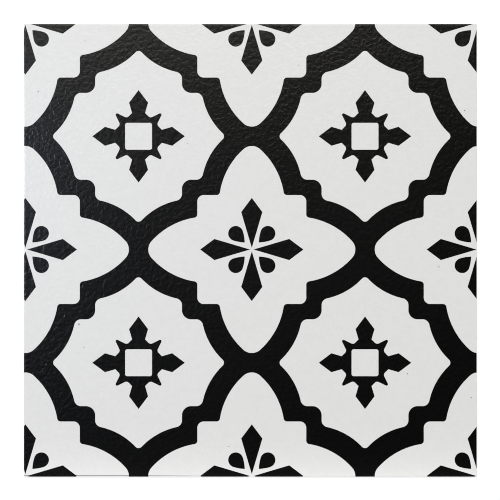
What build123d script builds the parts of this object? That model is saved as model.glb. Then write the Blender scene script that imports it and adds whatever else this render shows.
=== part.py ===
from build123d import *
from math import ceil, hypot, sqrt
import os

# A printed vinyl floor tile, in millimetres. It lies flat on its back with its printed
# face up, and the origin is at the middle of its back.
# The sheet is one solid. Its printed face is one plane, divided into the light and the
# dark areas of the print, which have no relief against each other.

# Sheet, punched out of a wider roll
side = 304.8
thickness = 1.5
corner_radius = 0.5  # of the punch, seen from above
edge_round = 0.25  # where the punch drew the printed face down

# Print: two kinds of light cell take turns on a dark ground. The lobed cells stand in a
# square lattice, and a pointed cell stands between each four of them. The print repeats a
# whole number of times over the side, so that it runs on into the neighbouring tiles. The
# punch met it a little off its middle.
print_repeats = 2
pitch = side / print_repeats
print_shift_x = 1.0
print_shift_y = 0.55

# Lobed cell: a square with a round-nosed lobe on each side
lobe_gap = 13.1  # dark ground between the noses of two neighbouring cells
lobe_nose_radius = 8.35
lobe_flank_radius = 49.5
lobe_root_half_width = 21.7
lobe_root_fillet = 2.2
square_half_width = 36.65
square_corner_radius = 4.3

# Pointed cell: four points with hollow flanks, and a hollow corner between them
hollow_corner = 29.2  # from the middle to the straight sides of the corner, both ways
hollow_corner_fillet = 6.2
shoulder_run = 13.45  # from the hollow corner to the shoulder
shoulder_radius = 4.5
point_run = 16.2  # from the shoulder to the sharp point
point_flank_radius = 46.0
point_rounding = 2.8

# Rosette in the lobed cell: four kites along the axes, four drops between them
kite_start = 1.1
kite_length = 33.65
kite_shoulder = 24.1  # from the kite's inner point to its widest place
kite_half_width = 7.15
drop_start = 6.7
drop_length = 13.65
drop_radius = 5.05
drop_flank_radius = 28.0

# Medallion in the pointed cell: four arrowheads on necks, four spurs, a square window
window_half_width = 9.05
window_corner_radius = 1.5
neck_reach = 15.7  # from the middle to the narrowest place of the neck
neck_half_width = 4.4
head_base_reach = 22.6
head_half_width = 6.4
head_tip_reach = 31.3
head_tip_rounding = 0.35
valley_x = 12.3
valley_y = 7.8
valley_fillet = 2.3
spur_reach = 16.65  # both ways, before the tip is rounded
spur_rounding = 1.0


def quarter_turns(shape):
    """Four copies of a shape, a quarter turn apart about the middle of its cell."""
    return [Rot(0, 0, 90 * turn) * shape for turn in range(4)]


def corners_at(face, x, y):
    """The corners of a cell that lie at (x, y) in one of its eight mirrored eighths."""
    far, near = max(x, y), min(x, y)
    return face.vertices().filter_by(
        lambda v: hypot(max(abs(v.X), abs(v.Y)) - far, min(abs(v.X), abs(v.Y)) - near) < 1e-4
    )


def convex_flank(root, nose, nose_radius, flank_radius):
    """The arc that leaves the root point and runs into the round nose without a corner,
    on the left of the line from the root to the nose."""
    root, nose = Vector(*root), Vector(*nose)
    gap = (root - nose).length
    to_root = (root - nose) / gap
    inner = flank_radius - nose_radius
    along = (gap**2 + inner**2 - flank_radius**2) / (2 * gap)
    across = sqrt(inner**2 - along**2)
    centre = nose + to_root * along + to_root.rotate(Axis.Z, 90) * across
    joint = nose + (nose - centre).normalized() * nose_radius
    middle = centre + ((root + joint) / 2 - centre).normalized() * flank_radius
    return ThreePointArc(root, middle, joint)


def lobed_cell():
    """The light area of a lobed cell, without its rosette."""
    root = (square_half_width, lobe_root_half_width)
    nose_reach = (pitch - lobe_gap) / 2
    flank = convex_flank(
        root, (nose_reach - lobe_nose_radius, 0), lobe_nose_radius, lobe_flank_radius
    )
    other_flank = mirror(flank, Plane.XZ)
    nose = ThreePointArc(flank @ 1, (nose_reach, 0), other_flank @ 1)
    base = Polyline(other_flank @ 0, (0, -lobe_root_half_width), (0, lobe_root_half_width), root)
    lobe = make_face([flank, nose, other_flank, base])
    cell = Rectangle(2 * square_half_width, 2 * square_half_width) + quarter_turns(lobe)
    cell = fillet(corners_at(cell, square_half_width, square_half_width), square_corner_radius)
    cell = fillet(corners_at(cell, *root), lobe_root_fillet)
    return cell - rosette()


def rosette():
    """The dark kites and drops of a lobed cell."""
    shoulder = kite_start + kite_shoulder
    kite = make_face(
        Polyline(
            (kite_start, 0),
            (shoulder, kite_half_width),
            (kite_start + kite_length, 0),
            (shoulder, -kite_half_width),
            close=True,
        )
    )
    belly = drop_start + drop_length - drop_radius
    flank = convex_flank((drop_start, 0), (belly, 0), drop_radius, drop_flank_radius)
    other_flank = mirror(flank, Plane.XZ)
    nose = ThreePointArc(flank @ 1, (belly + drop_radius, 0), other_flank @ 1)
    drop = Rot(0, 0, 45) * make_face([flank, nose, other_flank])
    return Sketch() + quarter_turns(kite) + quarter_turns(drop)


def pointed_cell():
    """The light area of a pointed cell, without its medallion."""
    shoulder = (hollow_corner + shoulder_run, hollow_corner)
    point = (shoulder[0] + point_run, 0)
    flank = RadiusArc(point, shoulder, point_flank_radius)
    corner = (hollow_corner, hollow_corner)
    arm = make_face(
        [
            flank,
            mirror(flank, Plane.XZ),
            Polyline(shoulder, corner, (0, 0), (corner[0], -corner[1]), (shoulder[0], -shoulder[1])),
        ]
    )
    cell = Sketch() + quarter_turns(arm)
    cell = fillet(corners_at(cell, *corner), hollow_corner_fillet)
    cell = fillet(corners_at(cell, *shoulder), shoulder_radius)
    cell = fillet(corners_at(cell, *point), point_rounding)
    return cell - medallion()


def medallion():
    """The dark figure of a pointed cell, with its window."""
    tip = (head_tip_reach, 0)
    valley = (valley_x, valley_y)
    spur = (spur_reach, spur_reach)
    upper = [
        tip,
        (head_base_reach, head_half_width),
        (neck_reach, neck_half_width),
        valley,
        spur,
    ]
    lower = [(x, -y) for x, y in reversed(upper[1:])]
    arm = make_face(Polyline(*upper, (0, 0), *lower, close=True))
    figure = Sketch() + quarter_turns(arm)
    figure = fillet(corners_at(figure, *spur), spur_rounding)
    figure = fillet(corners_at(figure, *valley), valley_fillet)
    figure = fillet(corners_at(figure, *tip), head_tip_rounding)
    return figure - RectangleRounded(
        2 * window_half_width, 2 * window_half_width, window_corner_radius
    )


def light_print():
    """All light areas of the print, past the sheet's edges on every side."""
    rows = ceil(print_repeats / 2) + 1
    lobed, pointed = lobed_cell(), pointed_cell()
    cells = []
    for column in range(-rows, rows + 1):
        for row in range(-rows, rows + 1):
            x = print_shift_x + column * pitch
            y = print_shift_y + row * pitch
            cells.append(Pos(x, y) * lobed)
            cells.append(Pos(x + pitch / 2, y + pitch / 2) * pointed)
    return Sketch() + cells


def sheet():
    """The plain sheet, with its punched edge."""
    blank = extrude(RectangleRounded(side, side, corner_radius), thickness)
    return fillet(blank.faces().sort_by(Axis.Z)[-1].edges(), edge_round)


def printed_tile():
    """The sheet with its upper face divided along the outlines of the print."""
    blank = sheet()
    upper = blank.faces().sort_by(Axis.Z)[-1]
    plain_faces = blank.faces().sort_by(Axis.Z)[:-1]
    light_areas = Pos(0, 0, thickness) * light_print()
    light = (light_areas & upper).faces()
    dark = (upper - light_areas).faces()
    return Solid(Shell(plain_faces + light + dark))


tile = printed_tile()
tile.label = "vinyl_tile"
os.makedirs("parts", exist_ok=True)
export_step(tile, "parts/vinyl_tile.step")
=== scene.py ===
"""Dresses the vinyl floor tile and sets it up for its portrait from straight above.

The tile is one punched sheet. Its upper face carries a black and white print under a clear,
finely embossed wear layer, its edges show the cut core, and its back is plain. Lengths are in
metres, and in millimetres where a docstring says so.
"""

import logging
import math
from dataclasses import dataclass, field
from enum import Enum

import bpy
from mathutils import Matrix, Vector

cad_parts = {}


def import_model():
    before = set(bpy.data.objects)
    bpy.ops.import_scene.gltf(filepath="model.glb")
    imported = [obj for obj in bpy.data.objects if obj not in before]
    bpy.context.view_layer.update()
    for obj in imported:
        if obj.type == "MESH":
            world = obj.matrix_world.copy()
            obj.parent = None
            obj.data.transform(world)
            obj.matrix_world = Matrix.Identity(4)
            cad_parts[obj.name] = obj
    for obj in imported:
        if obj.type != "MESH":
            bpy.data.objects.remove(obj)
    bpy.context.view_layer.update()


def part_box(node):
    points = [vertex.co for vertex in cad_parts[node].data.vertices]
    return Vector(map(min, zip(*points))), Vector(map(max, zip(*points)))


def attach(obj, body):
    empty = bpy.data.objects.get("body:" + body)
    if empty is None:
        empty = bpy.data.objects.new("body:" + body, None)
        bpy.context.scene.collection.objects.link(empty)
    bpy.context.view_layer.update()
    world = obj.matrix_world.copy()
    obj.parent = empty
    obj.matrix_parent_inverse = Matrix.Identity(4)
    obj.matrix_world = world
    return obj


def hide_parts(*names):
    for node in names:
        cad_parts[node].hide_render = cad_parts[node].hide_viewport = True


MM = 0.001
MAP_NAME = "OFBake"
PRINT_REPEATS = 2
TOLERANCE = 1e-7

log = logging.getLogger("vinyl_tile")

Point = tuple[float, float]
Place = tuple[float, float, float]
Colour = tuple[float, float, float]
Socket = bpy.types.NodeSocket


class Region(Enum):
    """The surfaces of the sheet, in the order of its material slots."""

    FACE = 0
    EDGE = 1
    BACK = 2


class Graph:
    """Short ways to add and join the nodes of one tree."""

    def __init__(self, tree: bpy.types.NodeTree) -> None:
        """Works on this node tree.

        Args:
            tree: The tree that the nodes go into.
        """
        self.tree = tree

    def add(self, kind: str, **settings: object) -> bpy.types.Node:
        """Adds a node.

        Args:
            kind: The node's type name.
            **settings: Properties of the node to set.

        Returns:
            The new node.
        """
        node = self.tree.nodes.new(kind)
        for name, value in settings.items():
            setattr(node, name, value)
        return node

    def feed(self, socket: Socket, value: object) -> None:
        """Joins a socket to another one, or gives it a plain value.

        Args:
            socket: The input socket.
            value: An output socket or a plain value.
        """
        if isinstance(value, Socket):
            self.tree.links.new(value, socket)
        else:
            socket.default_value = value

    def maths(self, operation: str, *values: object) -> Socket:
        """Adds a Math node.

        Args:
            operation: What the node does, such as "ADD".
            *values: Sockets or numbers for its inputs.

        Returns:
            The result.
        """
        node = self.add("ShaderNodeMath", operation=operation)
        for socket, value in zip(node.inputs, values):
            self.feed(socket, value)
        return node.outputs[0]

    def vector(self, operation: str, *values: object) -> Socket:
        """Adds a Vector Math node.

        Args:
            operation: What the node does, such as "DISTANCE".
            *values: Sockets or vectors for its inputs.

        Returns:
            The result, a number where the operation gives one.
        """
        node = self.add("ShaderNodeVectorMath", operation=operation)
        for socket, value in zip(node.inputs, values):
            self.feed(socket, value)
        gives_number = operation in ("LENGTH", "DISTANCE", "DOT_PRODUCT")
        return node.outputs["Value" if gives_number else "Vector"]

    def scaled(self, place: Socket, factor: float) -> Socket:
        """Multiplies a vector by a number.

        Args:
            place: The vector.
            factor: The number.

        Returns:
            The longer or shorter vector.
        """
        node = self.add("ShaderNodeVectorMath", operation="SCALE")
        self.feed(node.inputs["Vector"], place)
        node.inputs["Scale"].default_value = factor
        return node.outputs["Vector"]

    def place(self, x: object, y: object) -> Socket:
        """Puts two numbers together as a flat place.

        Args:
            x: A socket or a number.
            y: A socket or a number.

        Returns:
            The vector (x, y, 0).
        """
        node = self.add("ShaderNodeCombineXYZ")
        self.feed(node.inputs["X"], x)
        self.feed(node.inputs["Y"], y)
        return node.outputs["Vector"]

    def split(self, place: Socket) -> bpy.types.bpy_prop_collection:
        """Takes a vector apart.

        Args:
            place: The vector.

        Returns:
            The sockets of its X, Y and Z, by name.
        """
        node = self.add("ShaderNodeSeparateXYZ")
        self.feed(node.inputs[0], place)
        return node.outputs

    def noise(self, place: Socket, scale: float, detail: float, roughness: float) -> Socket:
        """Adds a noise pattern.

        Args:
            place: The coordinates.
            scale: Waves to a unit of the coordinates.
            detail: How many finer layers lie on it.
            roughness: How strong the finer layers are.

        Returns:
            The pattern, from 0 to 1.
        """
        node = self.add("ShaderNodeTexNoise")
        self.feed(node.inputs["Vector"], place)
        node.inputs["Scale"].default_value = scale
        node.inputs["Detail"].default_value = detail
        node.inputs["Roughness"].default_value = roughness
        return node.outputs["Fac"]

    def ramp(self, value: object, low: float, high: float, start: float, end: float) -> Socket:
        """Maps a number smoothly from one range to another, and holds it at the ends.

        Args:
            value: The number.
            low: Where the first range starts.
            high: Where the first range ends.
            start: The result up to low.
            end: The result from high on.

        Returns:
            The mapped number.
        """
        node = self.add("ShaderNodeMapRange", interpolation_type="SMOOTHSTEP")
        for name, number in (
            ("Value", value),
            ("From Min", low),
            ("From Max", high),
            ("To Min", start),
            ("To Max", end),
        ):
            self.feed(node.inputs[name], number)
        return node.outputs["Result"]

    def blend(self, factor: object, first: object, second: object) -> Socket:
        """Mixes two colours.

        Args:
            factor: 0 gives the first and 1 the second.
            first: A colour or a socket.
            second: A colour or a socket.

        Returns:
            The mixed colour.
        """
        node = self.add("ShaderNodeMix", data_type="RGBA")
        self.feed(node.inputs[0], factor)
        self.feed(node.inputs[6], first)
        self.feed(node.inputs[7], second)
        return node.outputs[2]

    def bump(self, height: Socket, distance: float) -> Socket:
        """Turns a height into a shading normal.

        Args:
            height: The height, from 0 to 1.
            distance: How high 1 is.

        Returns:
            The normal.
        """
        node = self.add("ShaderNodeBump")
        node.inputs["Strength"].default_value = 1.0
        node.inputs["Distance"].default_value = distance
        self.feed(node.inputs["Height"], height)
        return node.outputs["Normal"]

    def either(self, *shapes: Socket) -> Socket:
        """Joins shapes, each given as the distance outside its outline.

        Args:
            *shapes: The distances.

        Returns:
            The distance outside the joined outline.
        """
        joined = shapes[0]
        for shape in shapes[1:]:
            joined = self.maths("MINIMUM", joined, shape)
        return joined

    def both(self, *shapes: Socket) -> Socket:
        """Keeps what lies in every shape, each given as the distance outside its outline.

        Args:
            *shapes: The distances.

        Returns:
            The distance outside the outline of what they share.
        """
        shared = shapes[0]
        for shape in shapes[1:]:
            shared = self.maths("MAXIMUM", shared, shape)
        return shared

    def without(self, shape: Socket, *holes: Socket) -> Socket:
        """Cuts holes out of a shape.

        Args:
            shape: The distance outside the shape.
            *holes: The distances outside the holes.

        Returns:
            The distance outside what is left.
        """
        for hole in holes:
            shape = self.maths("MAXIMUM", shape, self.maths("MULTIPLY", hole, -1.0))
        return shape

    def filleted(self, first: Socket, second: Socket, radius: float) -> Socket:
        """Joins two shapes with a hollow fillet where their outlines cross.

        Args:
            first: The distance outside one shape.
            second: The distance outside the other.
            radius: The fillet's radius.

        Returns:
            The distance outside the joined outline.
        """
        near_first = self.maths("MAXIMUM", self.maths("SUBTRACT", radius, first), 0.0)
        near_second = self.maths("MAXIMUM", self.maths("SUBTRACT", radius, second), 0.0)
        plain = self.maths("MAXIMUM", self.maths("MINIMUM", first, second), radius)
        return self.maths("SUBTRACT", plain, self.vector("LENGTH", self.place(near_first, near_second)))

    def rounded(self, first: Socket, second: Socket, radius: float) -> Socket:
        """Keeps what two shapes share, with a round corner where their outlines cross.

        Args:
            first: The distance outside one shape.
            second: The distance outside the other.
            radius: The corner's radius.

        Returns:
            The distance outside the shared outline.
        """
        past_first = self.maths("MAXIMUM", self.maths("ADD", first, radius), 0.0)
        past_second = self.maths("MAXIMUM", self.maths("ADD", second, radius), 0.0)
        plain = self.maths("MINIMUM", self.maths("MAXIMUM", first, second), -radius)
        return self.maths("ADD", plain, self.vector("LENGTH", self.place(past_first, past_second)))

    def disc(self, place: Socket, centre: Point, radius: float) -> Socket:
        """The distance outside a disc.

        Args:
            place: Where it is measured.
            centre: The disc's middle.
            radius: The disc's radius.

        Returns:
            The distance, less than 0 inside.
        """
        return self.maths("SUBTRACT", self.vector("DISTANCE", place, (*centre, 0.0)), radius)

    def right_of(self, place: Socket, start: Point, end: Point) -> Socket:
        """The distance to the right of a line.

        Args:
            place: Where it is measured.
            start: A point on the line.
            end: A point further along it.

        Returns:
            The distance, less than 0 on the left.
        """
        along = (Vector(end) - Vector(start)).normalized()
        across = (along.y, -along.x, 0.0)
        offset = along.y * start[0] - along.x * start[1]
        return self.maths("SUBTRACT", self.vector("DOT_PRODUCT", place, across), offset)

    def square(self, far: object, near: object, half_width: float, radius: float) -> Socket:
        """The distance outside a square with round corners.

        Args:
            far: The larger of the two distances from the square's axes.
            near: The smaller one.
            half_width: Half the square's side.
            radius: The corners' radius.

        Returns:
            The distance, less than 0 inside.
        """
        side = self.maths("SUBTRACT", far, half_width)
        return self.rounded(side, self.maths("SUBTRACT", near, half_width), radius)

    def switched(self, first: object, second: object, past: object) -> Socket:
        """Takes the second of two distances past a line, and the first before it.

        Args:
            first: The distance before the line.
            second: The distance past it.
            past: How far past the line the place is.

        Returns:
            The one that holds.
        """
        choice = self.maths("GREATER_THAN", past, 0.0)
        return self.maths("MULTIPLY_ADD", choice, self.maths("SUBTRACT", second, first), first)

    def tongue(self, place: Socket, outline: "Tongue") -> Socket:
        """The distance outside a round-nosed tongue.

        Args:
            place: Along the tongue and across it, folded to its upper half.
            outline: The tongue.

        Returns:
            The distance, less than 0 inside.
        """
        flank = self.disc(place, outline.flank_centre, outline.flank_radius)
        nose = self.disc(place, outline.nose, outline.nose_radius)
        return self.switched(flank, nose, self.right_of(place, outline.flank_centre, outline.nose))


class Effect:
    """A node group that reads coordinates and gives one number."""

    def __init__(self, name: str, result: str) -> None:
        """Makes the group with its sockets.

        Args:
            name: The group's name.
            result: The name of the number that it gives.
        """
        self.tree = bpy.data.node_groups.new(name, "ShaderNodeTree")
        self.tree.interface.new_socket("Vector", in_out="INPUT", socket_type="NodeSocketVector")
        self.tree.interface.new_socket(result, in_out="OUTPUT", socket_type="NodeSocketFloat")
        self.graph = Graph(self.tree)
        self.place = self.graph.add("NodeGroupInput").outputs["Vector"]
        self.result = self.graph.add("NodeGroupOutput").inputs[result]

    def giving(self, value: Socket) -> bpy.types.NodeTree:
        """Joins the number that the group gives.

        Args:
            value: The socket that holds it.

        Returns:
            The node group.
        """
        self.graph.feed(self.result, value)
        return self.tree


@dataclass(frozen=True)
class Tongue:
    """A round nose with convex flanks that run into it without a corner, in millimetres."""

    root: Point
    nose: Point
    nose_radius: float
    flank_radius: float

    @property
    def flank_centre(self) -> Point:
        """The middle of the upper flank's arc."""
        root = Vector(self.root)
        nose = Vector(self.nose)
        to_root = (root - nose).normalized()
        gap = (root - nose).length
        inner = self.flank_radius - self.nose_radius
        along = (gap**2 + inner**2 - self.flank_radius**2) / (2 * gap)
        across = math.sqrt(inner**2 - along**2)
        return tuple(nose + to_root * along + Vector((-to_root.y, to_root.x)) * across)


@dataclass(frozen=True)
class LobedCell:
    """A light square with a round-nosed lobe on each side, and the dark rosette in it, in
    millimetres."""

    lobe_gap: float = 13.1
    nose_radius: float = 8.35
    flank_radius: float = 49.5
    root_half_width: float = 21.7
    root_fillet: float = 1.95
    square_half_width: float = 36.65
    square_corner_radius: float = 4.3
    kite_start: float = 1.1
    kite_length: float = 33.65
    kite_shoulder: float = 24.1
    kite_half_width: float = 7.15
    drop_start: float = 6.7
    drop_length: float = 13.65
    drop_radius: float = 5.05
    drop_flank_radius: float = 28.0

    def light(self, graph: Graph, far: object, near: object, pitch: float) -> Socket:
        """The distance outside the cell's light area.

        Args:
            graph: The tree that the nodes go into.
            far: The larger distance from the cell's axes.
            near: The smaller one.
            pitch: From one such cell to the next.

        Returns:
            The distance, less than 0 where the print is light.
        """
        place = graph.place(far, near)
        reach = (pitch - self.lobe_gap) / 2
        lobe = Tongue(
            (self.square_half_width, self.root_half_width),
            (reach - self.nose_radius, 0.0),
            self.nose_radius,
            self.flank_radius,
        )
        square = graph.square(far, near, self.square_half_width, self.square_corner_radius)
        outline = graph.filleted(square, graph.tongue(place, lobe), self.root_fillet)
        return graph.without(outline, self.kite(graph, place), self.drop(graph, far, near))

    def kite(self, graph: Graph, place: Socket) -> Socket:
        """The distance outside the kite on the cell's axis.

        Args:
            graph: The tree that the nodes go into.
            place: The folded place in the cell.

        Returns:
            The distance, less than 0 inside.
        """
        shoulder = (self.kite_start + self.kite_shoulder, self.kite_half_width)
        inner = graph.right_of(place, shoulder, (self.kite_start, 0.0))
        outer = graph.right_of(place, (self.kite_start + self.kite_length, 0.0), shoulder)
        return graph.both(inner, outer)

    def drop(self, graph: Graph, far: object, near: object) -> Socket:
        """The distance outside the drop on the cell's diagonal.

        Args:
            graph: The tree that the nodes go into.
            far: The larger distance from the cell's axes.
            near: The smaller one.

        Returns:
            The distance, less than 0 inside.
        """
        along = graph.maths("MULTIPLY", graph.maths("ADD", far, near), math.sqrt(0.5))
        across = graph.maths("MULTIPLY", graph.maths("SUBTRACT", far, near), math.sqrt(0.5))
        belly = self.drop_start + self.drop_length - self.drop_radius
        root = (self.drop_start, 0.0)
        drop = Tongue(root, (belly, 0.0), self.drop_radius, self.drop_flank_radius)
        return graph.tongue(graph.place(along, across), drop)


@dataclass(frozen=True)
class PointedCell:
    """A light cell with four hollow-flanked points, and the dark medallion in it, in
    millimetres."""

    hollow_corner: float = 29.2
    hollow_corner_fillet: float = 6.2
    shoulder_run: float = 13.45
    shoulder_radius: float = 3.7
    point_run: float = 16.2
    point_flank_radius: float = 46.0
    point_rounding: float = 2.8
    window_half_width: float = 9.05
    window_corner_radius: float = 1.5
    neck: Point = (15.7, 4.4)
    head_base: Point = (22.6, 6.4)
    head_tip: Point = (31.15, 0.0)
    valley: Point = (12.3, 7.8)
    valley_fillet: float = 1.5
    spur: Point = (16.65, 16.65)
    spur_rounding: float = 1.0

    def light(self, graph: Graph, far: object, near: object) -> Socket:
        """The distance outside the cell's light area.

        Args:
            graph: The tree that the nodes go into.
            far: The larger distance from the cell's axes.
            near: The smaller one.

        Returns:
            The distance, less than 0 where the print is light.
        """
        bars = graph.filleted(
            graph.maths("SUBTRACT", near, self.hollow_corner),
            graph.maths("SUBTRACT", far, self.hollow_corner),
            self.hollow_corner_fillet,
        )
        outline = graph.rounded(bars, self.point(graph, far, near), self.shoulder_radius)
        return graph.without(outline, self.medallion(graph, far, near))

    def point(self, graph: Graph, far: object, near: object) -> Socket:
        """The distance outside the point with its hollow flanks and round tip.

        Args:
            graph: The tree that the nodes go into.
            far: The larger distance from the cell's axes.
            near: The smaller one.

        Returns:
            The distance, less than 0 inside.
        """
        place = graph.place(far, near)
        flank_x, flank_y = self.flank_centre
        reach = math.sqrt((self.point_flank_radius + self.point_rounding) ** 2 - flank_y**2)
        tip_centre = (flank_x - reach, 0.0)
        hollow = graph.disc(place, self.flank_centre, self.point_flank_radius)
        flank = graph.maths("MULTIPLY", hollow, -1.0)
        tip = graph.disc(place, tip_centre, self.point_rounding)
        past_joint = graph.right_of(place, tip_centre, self.flank_centre)
        return graph.switched(flank, tip, past_joint)

    @property
    def flank_centre(self) -> Point:
        """The middle of the hollow flank's arc."""
        shoulder = Vector((self.hollow_corner + self.shoulder_run, self.hollow_corner))
        point = Vector((shoulder.x + self.point_run, 0.0))
        chord = point - shoulder
        rise = math.sqrt(self.point_flank_radius**2 - chord.length_squared / 4)
        away = Vector((-chord.y, chord.x)).normalized()
        return tuple((shoulder + point) / 2 + away * rise)

    def medallion(self, graph: Graph, far: object, near: object) -> Socket:
        """The distance outside the dark figure.

        Args:
            graph: The tree that the nodes go into.
            far: The larger distance from the cell's axes.
            near: The smaller one.

        Returns:
            The distance, less than 0 inside.
        """
        place = graph.place(far, near)
        head = graph.both(
            graph.right_of(place, self.head_tip, self.head_base),
            graph.right_of(place, self.head_base, self.neck),
        )
        neck = graph.right_of(place, self.neck, self.valley)
        body = graph.filleted(neck, self.spur_wedge(graph, place), self.valley_fillet)
        figure = graph.either(head, body)
        window = graph.square(far, near, self.window_half_width, self.window_corner_radius)
        return graph.without(figure, window)

    def spur_wedge(self, graph: Graph, place: Socket) -> Socket:
        """The distance outside the spur with its round tip.

        Args:
            graph: The tree that the nodes go into.
            place: The folded place in the cell.

        Returns:
            The distance, less than 0 inside.
        """
        flank = Vector(self.spur) - Vector(self.valley)
        half_angle = flank.angle(Vector((1.0, 1.0)))
        tip = Vector(self.spur)
        diagonal = tip.normalized()
        centre = tip - diagonal * (self.spur_rounding / math.sin(half_angle))
        joint = centre + diagonal * (self.spur_rounding * math.sin(half_angle))
        past_joint = graph.maths(
            "SUBTRACT", graph.vector("DOT_PRODUCT", place, (*diagonal, 0.0)), joint.length
        )
        tip_disc = graph.disc(place, tuple(centre), self.spur_rounding)
        return graph.both(
            graph.right_of(place, self.valley, self.spur),
            graph.either(past_joint, tip_disc),
        )


@dataclass(frozen=True)
class LatticePrint:
    """The print: a square lattice of lobed cells with a pointed cell between each four, in
    millimetres."""

    pitch: float
    shift_x: float = 1.0
    shift_y: float = 0.55
    edge_blur: float = 0.1
    lobed: LobedCell = LobedCell()
    pointed: PointedCell = PointedCell()

    def group(self) -> bpy.types.NodeTree:
        """Builds the print's node group. It takes Object coordinates in metres, and gives 1
        where the ink is dark.

        Returns:
            The node group.
        """
        effect = Effect("lattice_print", "Ink")
        graph = effect.graph
        apart = graph.split(graph.scaled(effect.place, 1 / MM))
        folded_x = self.folded(graph, apart["X"], self.shift_x)
        folded_y = self.folded(graph, apart["Y"], self.shift_y)
        far = graph.maths("MAXIMUM", folded_x, folded_y)
        near = graph.maths("MINIMUM", folded_x, folded_y)
        other_far = graph.maths("SUBTRACT", self.pitch / 2, near)
        other_near = graph.maths("SUBTRACT", self.pitch / 2, far)
        light = graph.either(
            self.lobed.light(graph, far, near, self.pitch),
            self.pointed.light(graph, other_far, other_near),
        )
        return effect.giving(graph.ramp(light, -self.edge_blur, self.edge_blur, 0.0, 1.0))

    def folded(self, graph: Graph, along: object, shift: float) -> Socket:
        """The distance to the nearest row of lobed cells.

        Args:
            graph: The tree that the nodes go into.
            along: The coordinate across the rows.
            shift: Where the middle row lies.

        Returns:
            The distance, up to half a pitch.
        """
        return graph.maths("PINGPONG", graph.maths("SUBTRACT", along, shift), self.pitch / 2)


@dataclass(frozen=True)
class Grain:
    """The relief that the embossing roll left in the wear layer. Its blobs and the finer pits
    on them are in waves to a metre, and the pits have a share of the blobs' height."""

    blob_scale: float = 420.0
    step_start: float = 0.4
    step_end: float = 0.6
    pit_scale: float = 900.0
    pit_share: float = 0.15
    finer_layer: float = 0.4

    def group(self) -> bpy.types.NodeTree:
        """Builds the grain's node group, which gives a height of 1 on a blob and 0 between
        them, before the pits.

        Returns:
            The node group.
        """
        effect = Effect("embossed_grain", "Height")
        graph = effect.graph
        blobs = graph.noise(effect.place, self.blob_scale, 1.0, self.finer_layer)
        raised = graph.ramp(blobs, self.step_start, self.step_end, 0.0, 1.0)
        pits = graph.noise(effect.place, self.pit_scale, 1.0, self.finer_layer)
        return effect.giving(graph.maths("MULTIPLY_ADD", pits, self.pit_share, raised))


@dataclass(frozen=True)
class Fleck:
    """A small dark fleck, with its place from the sheet's middle and its radius, in
    millimetres."""

    x: float
    y: float
    radius: float


@dataclass(frozen=True)
class Flecks:
    """The flecks in the light print that show in the photo, in millimetres."""

    softness: float = 0.1
    flecks: tuple[Fleck, ...] = (
        Fleck(-142.8, 106.8, 0.34),
        Fleck(-111.2, 141.2, 0.18),
        Fleck(32.6, 124.7, 0.27),
        Fleck(-42.4, 72.0, 0.2),
        Fleck(144.3, 94.0, 0.34),
        Fleck(-115.3, -49.7, 0.46),
        Fleck(-112.0, -65.2, 0.3),
        Fleck(-14.4, -131.9, 0.3),
        Fleck(127.0, -11.1, 0.36),
        Fleck(105.7, -83.1, 0.33),
        Fleck(148.6, -99.2, 0.35),
    )

    def group(self) -> bpy.types.NodeTree:
        """Builds the flecks' node group, which gives 1 on a fleck.

        Returns:
            The node group.
        """
        effect = Effect("print_flecks", "Fleck")
        graph = effect.graph
        flat = graph.vector("MULTIPLY", graph.scaled(effect.place, 1 / MM), (1.0, 1.0, 0.0))
        discs = (graph.disc(flat, (fleck.x, fleck.y), fleck.radius) for fleck in self.flecks)
        nearest = graph.either(*discs)
        return effect.giving(graph.ramp(nearest, -self.softness, self.softness, 1.0, 0.0))


class Finish:
    """A material with one Principled shader that reads Object coordinates."""

    def __init__(self, name: str) -> None:
        """Makes the material with its shader, output and coordinates.

        Args:
            name: The material's name.
        """
        self.material = bpy.data.materials.new(name)
        self.material.use_nodes = True
        self.graph = Graph(self.material.node_tree)
        self.shader = self.material.node_tree.nodes["Principled BSDF"]
        self.place = self.graph.add("ShaderNodeTexCoord").outputs["Object"]

    def set(self, name: str, value: object) -> None:
        """Sets or joins one of the shader's inputs.

        Args:
            name: The input's name.
            value: A socket or a plain value.
        """
        self.graph.feed(self.shader.inputs[name], value)

    def effect(self, tree: bpy.types.NodeTree) -> bpy.types.Node:
        """Places a node group that reads the coordinates.

        Args:
            tree: The group.

        Returns:
            The node that holds it.
        """
        node = self.graph.add("ShaderNodeGroup", node_tree=tree)
        self.graph.feed(node.inputs["Vector"], self.place)
        return node


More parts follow.
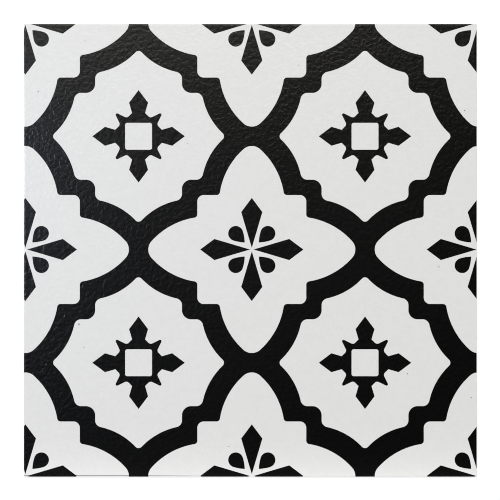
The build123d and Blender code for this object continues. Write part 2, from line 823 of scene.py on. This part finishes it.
@dataclass(frozen=True)
class PrintedFace:
    """The printed film under its clear wear layer. The light print has a faint cloudy mottle
    and the dark print a fine speckle, in waves to a metre. A thin line of painted shade darkens
    the left third of the lower edge, just inside the rim."""

    half_side: float
    light: Colour = (0.773, 0.772, 0.764)
    dark: Colour = (0.0002, 0.0002, 0.0002)
    dark_mottle: Colour = (0.002, 0.002, 0.002)
    mottle: float = 0.024
    cloud_scale: float = 240.0
    cloud_span: Point = (0.3, 0.7)
    speckle_scale: float = 700.0
    speckle_span: Point = (0.35, 0.7)
    roughness: float = 0.48
    specular: float = 0.09
    gloss_roughness: float = 0.25
    gloss_weight: float = 0.72
    grain_height: float = 0.043 * MM
    # Painted shade: a dark line close inside the lower edge, which fades out towards the middle.
    painted_shade: float = 0.62
    painted_shade_inset: float = 0.86 * MM
    painted_shade_half_width: float = 0.15 * MM
    painted_shade_fade: float = 0.25 * MM
    painted_shade_end: Point = (-85.0 * MM, -15.0 * MM)

    def build(self, lattice: LatticePrint, flecks: Flecks, grain: Grain) -> bpy.types.Material:
        """Builds the material.

        Args:
            lattice: Where the ink is.
            flecks: Where the light print has flecks.
            grain: The wear layer's relief.

        Returns:
            The material.
        """
        finish = Finish("printed_face")
        graph = finish.graph
        pattern = finish.effect(lattice.group()).outputs["Ink"]
        fleck = finish.effect(flecks.group()).outputs["Fleck"]
        ink = graph.maths("MAXIMUM", pattern, fleck)
        height = finish.effect(grain.group()).outputs["Height"]
        cloud = graph.noise(finish.place, self.cloud_scale, detail=3.0, roughness=0.6)
        shade = graph.ramp(cloud, *self.cloud_span, 1.0 - self.mottle, 1.0)
        light = graph.blend(shade, (0.0, 0.0, 0.0, 1.0), (*self.light, 1.0))
        speckle = graph.noise(finish.place, self.speckle_scale, detail=2.0, roughness=0.6)
        ground = graph.ramp(speckle, *self.speckle_span, 0.0, 1.0)
        dark = graph.blend(ground, (*self.dark, 1.0), (*self.dark_mottle, 1.0))
        printed = graph.blend(ink, light, dark)
        # The base colour is darkened by a painted shade line along the lower edge.
        finish.set("Base Color", graph.blend(self.painted_edge_shade(finish), printed, (*self.dark, 1.0)))
        finish.set("Roughness", self.roughness)
        finish.set("Specular IOR Level", self.specular)
        finish.set("Coat Weight", self.gloss_weight)
        finish.set("Coat Roughness", self.gloss_roughness)
        normal = graph.bump(height, self.grain_height)
        finish.set("Normal", normal)
        finish.set("Coat Normal", normal)
        return finish.material

    def painted_edge_shade(self, finish: Finish) -> Socket:
        """Paints a thin line of shade along the lower edge.

        Args:
            finish: The material.

        Returns:
            The painted shade's strength, 0 away from it.
        """
        graph = finish.graph
        apart = graph.split(finish.place)
        # Painted shade, darkest near the left end of the lower edge.
        above = graph.maths("ADD", apart["Y"], self.half_side - self.painted_shade_inset)
        away = graph.maths("ABSOLUTE", above)
        end = self.painted_shade_half_width + self.painted_shade_fade
        line = graph.ramp(away, self.painted_shade_half_width, end, self.painted_shade, 0.0)
        left = graph.ramp(apart["X"], *self.painted_shade_end, 1.0, 0.0)
        return graph.maths("MULTIPLY", line, left)


@dataclass(frozen=True)
class CutCore:
    """The punched edge, where the filled vinyl core shows."""

    colour: Colour = (0.5, 0.495, 0.48)
    darker: Colour = (0.36, 0.355, 0.34)
    roughness: float = 0.7
    speck_scale: float = 2500.0
    speck_height: float = 0.03 * MM

    def build(self) -> bpy.types.Material:
        """Builds the material, with fine marks from the punch.

        Returns:
            The material.
        """
        finish = Finish("cut_core")
        graph = finish.graph
        specks = graph.noise(finish.place, self.speck_scale, detail=2.0, roughness=0.6)
        finish.set("Base Color", graph.blend(specks, (*self.darker, 1.0), (*self.colour, 1.0)))
        finish.set("Roughness", self.roughness)
        finish.set("Normal", graph.bump(specks, self.speck_height))
        return finish.material


@dataclass(frozen=True)
class PlainBack:
    """The plain back, which takes the adhesive."""

    colour: Colour = (0.58, 0.575, 0.56)
    darker: Colour = (0.52, 0.515, 0.5)
    roughness: float = 0.8
    grain_scale: float = 900.0
    grain_height: float = 0.04 * MM

    def build(self) -> bpy.types.Material:
        """Builds the material, with the faint grain of the calender roll.

        Returns:
            The material.
        """
        finish = Finish("plain_back")
        graph = finish.graph
        grain = graph.noise(finish.place, self.grain_scale, detail=3.0, roughness=0.6)
        finish.set("Base Color", graph.blend(grain, (*self.darker, 1.0), (*self.colour, 1.0)))
        finish.set("Roughness", self.roughness)
        finish.set("Normal", graph.bump(grain, self.grain_height))
        return finish.material


@dataclass(frozen=True)
class MapLayout:
    """Where the sheet's surfaces lie on its own map, in shares of the map's width."""

    side: float
    thickness: float
    margin: float = 0.004
    face_width: float = 0.93
    strip_pitch: float = 0.0155
    strip_height: float = 0.012
    back_width: float = 0.055

    def spot(self, region: Region, place: Vector, normal: Vector) -> Point:
        """Finds the spot on the map for a place on the sheet.

        Args:
            region: The surface that the place is on.
            place: The place.
            normal: The direction that its face looks in.

        Returns:
            The spot.
        """
        across = place.x / self.side + 0.5
        along = place.y / self.side + 0.5
        if region is Region.FACE:
            return (self.margin + self.face_width * across, self.margin + self.face_width * along)
        if region is Region.BACK:
            left = 1 - self.margin - self.back_width
            return (left + self.back_width * across, self.margin + self.back_width * along)
        if abs(normal.x) > abs(normal.y):
            strip = 0 if normal.x > 0 else 1
            travel = along
        else:
            strip = 2 if normal.y > 0 else 3
            travel = across
        rise = self.strip_height * place.z / self.thickness
        lowest = 2 * self.margin + self.face_width
        return (self.margin + self.face_width * travel, lowest + strip * self.strip_pitch + rise)


@dataclass
class TileSheet:
    """The punched sheet, as one closed mesh with a dense, embossed face. A polygon belongs to
    the back or to the edge where its normal's height is below back_below or edge_below."""

    side: float
    thickness: float
    edge_round: float = 0.25 * MM
    corner_radius: float = 0.5 * MM
    face_cells: int = 302
    round_steps: int = 3
    corner_steps: int = 3
    smooth_angle: float = math.radians(40.0)
    relief: float = 0.05 * MM
    relief_size: float = 3.2 * MM
    relief_border: float = 1.5 * MM
    back_below: float = -0.5
    edge_below: float = 0.1
    piece: bpy.types.Object = field(default=None, init=False)

    def build(self) -> bpy.types.Object:
        """Models the sheet.

        Returns:
            The finished piece.
        """
        self.lay_face()
        self.draw_edges()
        self.round_corners()
        self.close_back()
        self.emboss()
        self.lay_map()
        bpy.ops.object.shade_smooth_by_angle(angle=self.smooth_angle)
        return self.piece

    def lay_face(self) -> None:
        """Lays the flat, finely divided face at the sheet's full height."""
        bpy.ops.object.select_all(action="DESELECT")
        bpy.ops.mesh.primitive_grid_add(
            x_subdivisions=self.face_cells,
            y_subdivisions=self.face_cells,
            size=self.side - 2 * self.edge_round,
            location=(0.0, 0.0, self.thickness),
        )
        self.piece = bpy.context.active_object
        self.piece.name = "tile_sheet"
        self.piece.data.name = "tile_sheet"
        bpy.ops.object.transform_apply(location=True, rotation=True, scale=True)

    def draw_edges(self) -> None:
        """Extrudes the face's border over the rounded edge and down to the back."""
        bpy.ops.object.mode_set(mode="EDIT")
        bpy.ops.mesh.select_mode(type="EDGE")
        bpy.ops.mesh.select_all(action="SELECT")
        bpy.ops.mesh.region_to_loop()
        half = self.side / 2 - self.edge_round
        height = self.thickness
        for step in range(1, self.round_steps + 1):
            angle = math.pi / 2 * step / self.round_steps
            new_half = self.side / 2 - self.edge_round * (1 - math.sin(angle))
            new_height = self.thickness - self.edge_round * (1 - math.cos(angle))
            self.extrude_border(new_half / half, new_height - height)
            half, height = new_half, new_height
        self.extrude_border(1.0, -height)
        bpy.ops.object.mode_set(mode="OBJECT")

    def extrude_border(self, widening: float, rise: float) -> None:
        """Extrudes the selected border.

        Args:
            widening: How much wider the new border is.
            rise: How much higher it lies.
        """
        bpy.ops.mesh.extrude_edges_indiv()
        bpy.ops.transform.resize(value=(widening, widening, 1.0), center_override=(0.0, 0.0, 0.0))
        bpy.ops.transform.translate(value=(0.0, 0.0, rise))

    def round_corners(self) -> None:
        """Rounds the sheet's four upright corners, as seen from above, and keeps them level."""
        mesh = self.piece.data
        flat = self.side / 2 - self.edge_round - TOLERANCE

        def at_corner(index: int) -> bool:
            """Tells whether a vertex is at an upright corner."""
            place = mesh.vertices[index].co
            return min(abs(place.x), abs(place.y)) > flat

        for edge in mesh.edges:
            edge.select = at_corner(edge.vertices[0]) and at_corner(edge.vertices[1])
        log.info("corner edges: %d", sum(edge.select for edge in mesh.edges))
        bpy.ops.object.mode_set(mode="EDIT")
        bpy.ops.mesh.bevel(
            offset=self.corner_radius,
            offset_type="OFFSET",
            segments=self.corner_steps,
            affect="EDGES",
            clamp_overlap=True,
        )
        bpy.ops.mesh.select_mode(type="VERT")
        bpy.ops.mesh.select_all(action="DESELECT")
        bpy.ops.object.mode_set(mode="OBJECT")
        for vertex in mesh.vertices:
            vertex.select = vertex.co.z > self.thickness
        bpy.ops.object.mode_set(mode="EDIT")
        level = (0.0, 0.0, self.thickness)
        bpy.ops.transform.resize(value=(1.0, 1.0, 0.0), center_override=level)
        bpy.ops.object.mode_set(mode="OBJECT")

    def close_back(self) -> None:
        """Fills the back and sorts the faces into their regions."""
        bpy.ops.object.mode_set(mode="EDIT")
        bpy.ops.mesh.select_all(action="SELECT")
        bpy.ops.mesh.region_to_loop()
        bpy.ops.mesh.edge_face_add()
        bpy.ops.mesh.select_all(action="SELECT")
        bpy.ops.mesh.normals_make_consistent(inside=False)
        bpy.ops.object.mode_set(mode="OBJECT")
        for polygon in self.piece.data.polygons:
            if polygon.normal.z < self.back_below:
                polygon.material_index = Region.BACK.value
            elif polygon.normal.z < self.edge_below:
                polygon.material_index = Region.EDGE.value
            else:
                polygon.material_index = Region.FACE.value

    def emboss(self) -> None:
        """Presses the coarse part of the grain into the face, away from its border."""
        inner = self.side / 2 - self.relief_border
        group = self.piece.vertex_groups.new(name="embossed")
        for vertex in self.piece.data.vertices:
            reach = max(abs(vertex.co.x), abs(vertex.co.y))
            if reach < inner and vertex.co.z > self.thickness / 2:
                group.add([vertex.index], min(1.0, (inner - reach) / self.relief_border), "REPLACE")
        pattern = bpy.data.textures.new("roll_grain", "CLOUDS")
        pattern.noise_scale = self.relief_size
        pattern.noise_depth = 0
        pattern.noise_basis = "BLENDER_ORIGINAL"
        displace = self.piece.modifiers.new("roll_grain", "DISPLACE")
        displace.texture = pattern
        displace.texture_coords = "LOCAL"
        displace.direction = "Z"
        displace.vertex_group = group.name
        displace.mid_level = 1.0
        displace.strength = self.relief
        bpy.context.view_layer.objects.active = self.piece
        bpy.ops.object.modifier_apply(modifier=displace.name)

    def lay_map(self) -> None:
        """Lays the piece's own map, with the face at nearly full size and the edges and the
        back small beside it."""
        layout = MapLayout(self.side, self.thickness)
        mesh = self.piece.data
        layer = mesh.uv_layers[0]
        layer.name = MAP_NAME
        for polygon in mesh.polygons:
            region = Region(polygon.material_index)
            for corner in polygon.loop_indices:
                place = mesh.vertices[mesh.loops[corner].vertex_index].co
                layer.uv[corner].vector = layout.spot(region, place, polygon.normal)

    def dress(self, finishes: dict[Region, bpy.types.Material]) -> None:
        """Gives each region its finish.

        Args:
            finishes: The material of each region.
        """
        indices = [polygon.material_index for polygon in self.piece.data.polygons]
        for region in Region:
            self.piece.data.materials.append(finishes[region])
        self.piece.data.polygons.foreach_set("material_index", indices)


@dataclass(frozen=True)
class Lamp:
    """A softbox with its width and depth, where it stands and what it points at."""

    name: str
    place: Place
    size: Point
    power: float
    colour: Colour = (1.0, 1.0, 1.0)
    target: Place = (0.0, 0.0, 0.0)
    spread: float = 180.0
    tile_only: bool = False

    def build(self, tile: bpy.types.Object) -> None:
        """Adds the softbox.

        Args:
            tile: The tile, which some lamps light alone.
        """
        data = bpy.data.lights.new(self.name, "AREA")
        data.shape = "RECTANGLE"
        data.size, data.size_y = self.size
        data.energy = self.power
        data.color = self.colour
        data.spread = math.radians(self.spread)
        lamp = bpy.data.objects.new(self.name, data)
        lamp.location = self.place
        ahead = Vector(self.target) - Vector(self.place)
        lamp.rotation_euler = ahead.to_track_quat("-Z", "Y").to_euler()
        lamp.visible_camera = False
        bpy.context.scene.collection.objects.link(lamp)
        if self.tile_only:
            lit = bpy.data.collections.new(self.name)
            lit.objects.link(tile)
            lamp.light_linking.receiver_collection = lit


@dataclass
class Studio:
    """The pale floor, the soft light and the camera over the tile."""

    tile: bpy.types.Object
    tile_thickness: float
    camera_height: float = 0.8
    frame_width: float = 0.3365
    aim: Point = (-0.00021, 0.00022)
    sensor: float = 36.0
    floor_side: float = 12.0
    floor_cells: int = 8
    floor_colour: Colour = (0.8, 0.8, 0.8)
    floor_roughness: float = 0.9
    floor_gap: float = 0.1 * MM
    floor_glow: float = 0.3
    lamps: tuple[Lamp, ...] = (
        Lamp(
            "ceiling_softbox",
            place=(-0.3, 2.2, 3.4),
            size=(2.2, 2.2),
            power=58.0,
            colour=(1.0, 0.98, 0.87),
        ),
        Lamp(
            "left_window",
            place=(-1.4, 0.27, 2.9),
            size=(0.2, 0.2),
            power=15.0,
            colour=(0.79, 0.84, 1.0),
        ),
        Lamp(
            "left_glint",
            place=(-0.3, 0.065, 0.3),
            size=(0.03, 0.03),
            power=0.08,
            colour=(0.5, 0.6, 1.0),
            target=(-0.12, 0.03, 0.0),
            tile_only=True,
        ),
        Lamp(
            "front_strip",
            place=(0.0, -0.172, 0.03),
            size=(0.4, 0.006),
            power=0.02,
            target=(0.0, -0.172, 0.0),
            spread=135.0,
            tile_only=True,
        ),
    )
    fill: float = 0.61
    ceiling: float = 0.01
    wall_top: Point = (0.05, 0.35)
    pixel_filter: float = 1.0

    def build(self) -> None:
        """Builds floor, lamps, world and camera."""
        self.lay_floor()
        for lamp in self.lamps:
            lamp.build(self.tile)
        self.light_room()
        self.place_camera()
        bpy.context.scene.view_settings.view_transform = "Standard"
        bpy.context.scene.cycles.filter_width = self.pixel_filter

    def lay_floor(self) -> None:
        """Lays the floor just under the tile. The camera sees it white, with its shadow."""
        bpy.ops.object.select_all(action="DESELECT")
        bpy.ops.mesh.primitive_grid_add(
            x_subdivisions=self.floor_cells,
            y_subdivisions=self.floor_cells,
            size=self.floor_side,
            location=(0.0, 0.0, -self.floor_gap),
        )
        floor = bpy.context.active_object
        floor.name = "floor"
        finish = Finish("pale_floor")
        graph = finish.graph
        finish.set("Base Color", (*self.floor_colour, 1.0))
        finish.set("Roughness", self.floor_roughness)
        finish.set("Specular IOR Level", 0.0)
        rays = graph.add("ShaderNodeLightPath").outputs
        mirrored = graph.maths("MAXIMUM", rays["Is Glossy Ray"], rays["Is Transmission Ray"])
        seen = graph.maths("MAXIMUM", rays["Is Camera Ray"], mirrored)
        finish.set("Emission Color", (1.0, 1.0, 1.0, 1.0))
        finish.set("Emission Strength", graph.maths("MULTIPLY", seen, self.floor_glow))
        floor.data.materials.append(finish.material)

    def light_room(self) -> None:
        """Gives the room pale walls and a dark ceiling."""
        world = bpy.data.worlds.new("studio")
        bpy.context.scene.world = world
        world.use_nodes = True
        graph = Graph(world.node_tree)
        background = world.node_tree.nodes["Background"]
        ahead = graph.add("ShaderNodeTexCoord").outputs["Generated"]
        walls = graph.ramp(graph.split(ahead)["Z"], *self.wall_top, 1.0, self.ceiling)
        diffuse = graph.add("ShaderNodeLightPath").outputs["Is Diffuse Ray"]
        gap = graph.maths("SUBTRACT", self.fill, walls)
        graph.feed(background.inputs["Color"], (1.0, 1.0, 1.0, 1.0))
        graph.feed(background.inputs["Strength"], graph.maths("MULTIPLY_ADD", diffuse, gap, walls))

    def place_camera(self) -> None:
        """Hangs the camera over the tile, looking straight down."""
        data = bpy.data.cameras.new("camera")
        data.sensor_width = self.sensor
        distance = self.camera_height - self.tile_thickness
        data.lens = self.sensor * distance / self.frame_width
        camera = bpy.data.objects.new("camera", data)
        camera.location = (*self.aim, self.camera_height)
        bpy.context.scene.collection.objects.link(camera)
        bpy.context.scene.camera = camera


def main() -> None:
    """Builds the tile and its studio."""
    logging.basicConfig(level=logging.INFO, format="%(name)s: %(message)s")
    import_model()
    low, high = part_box("vinyl_tile")
    tile = TileSheet(side=high.x - low.x, thickness=high.z - low.z)
    piece = tile.build()
    lattice = LatticePrint(pitch=tile.side / MM / PRINT_REPEATS)
    face = PrintedFace(half_side=tile.side / 2)
    tile.dress(
        {
            Region.FACE: face.build(lattice, Flecks(), Grain()),
            Region.EDGE: CutCore().build(),
            Region.BACK: PlainBack().build(),
        }
    )
    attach(piece, "root")
    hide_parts("vinyl_tile")
    triangles = sum(len(polygon.vertices) - 2 for polygon in piece.data.polygons)
    log.info("%s: %d triangles", piece.name, triangles)
    Studio(tile=piece, tile_thickness=tile.thickness).build()


if __name__ == "__main__":
    main()
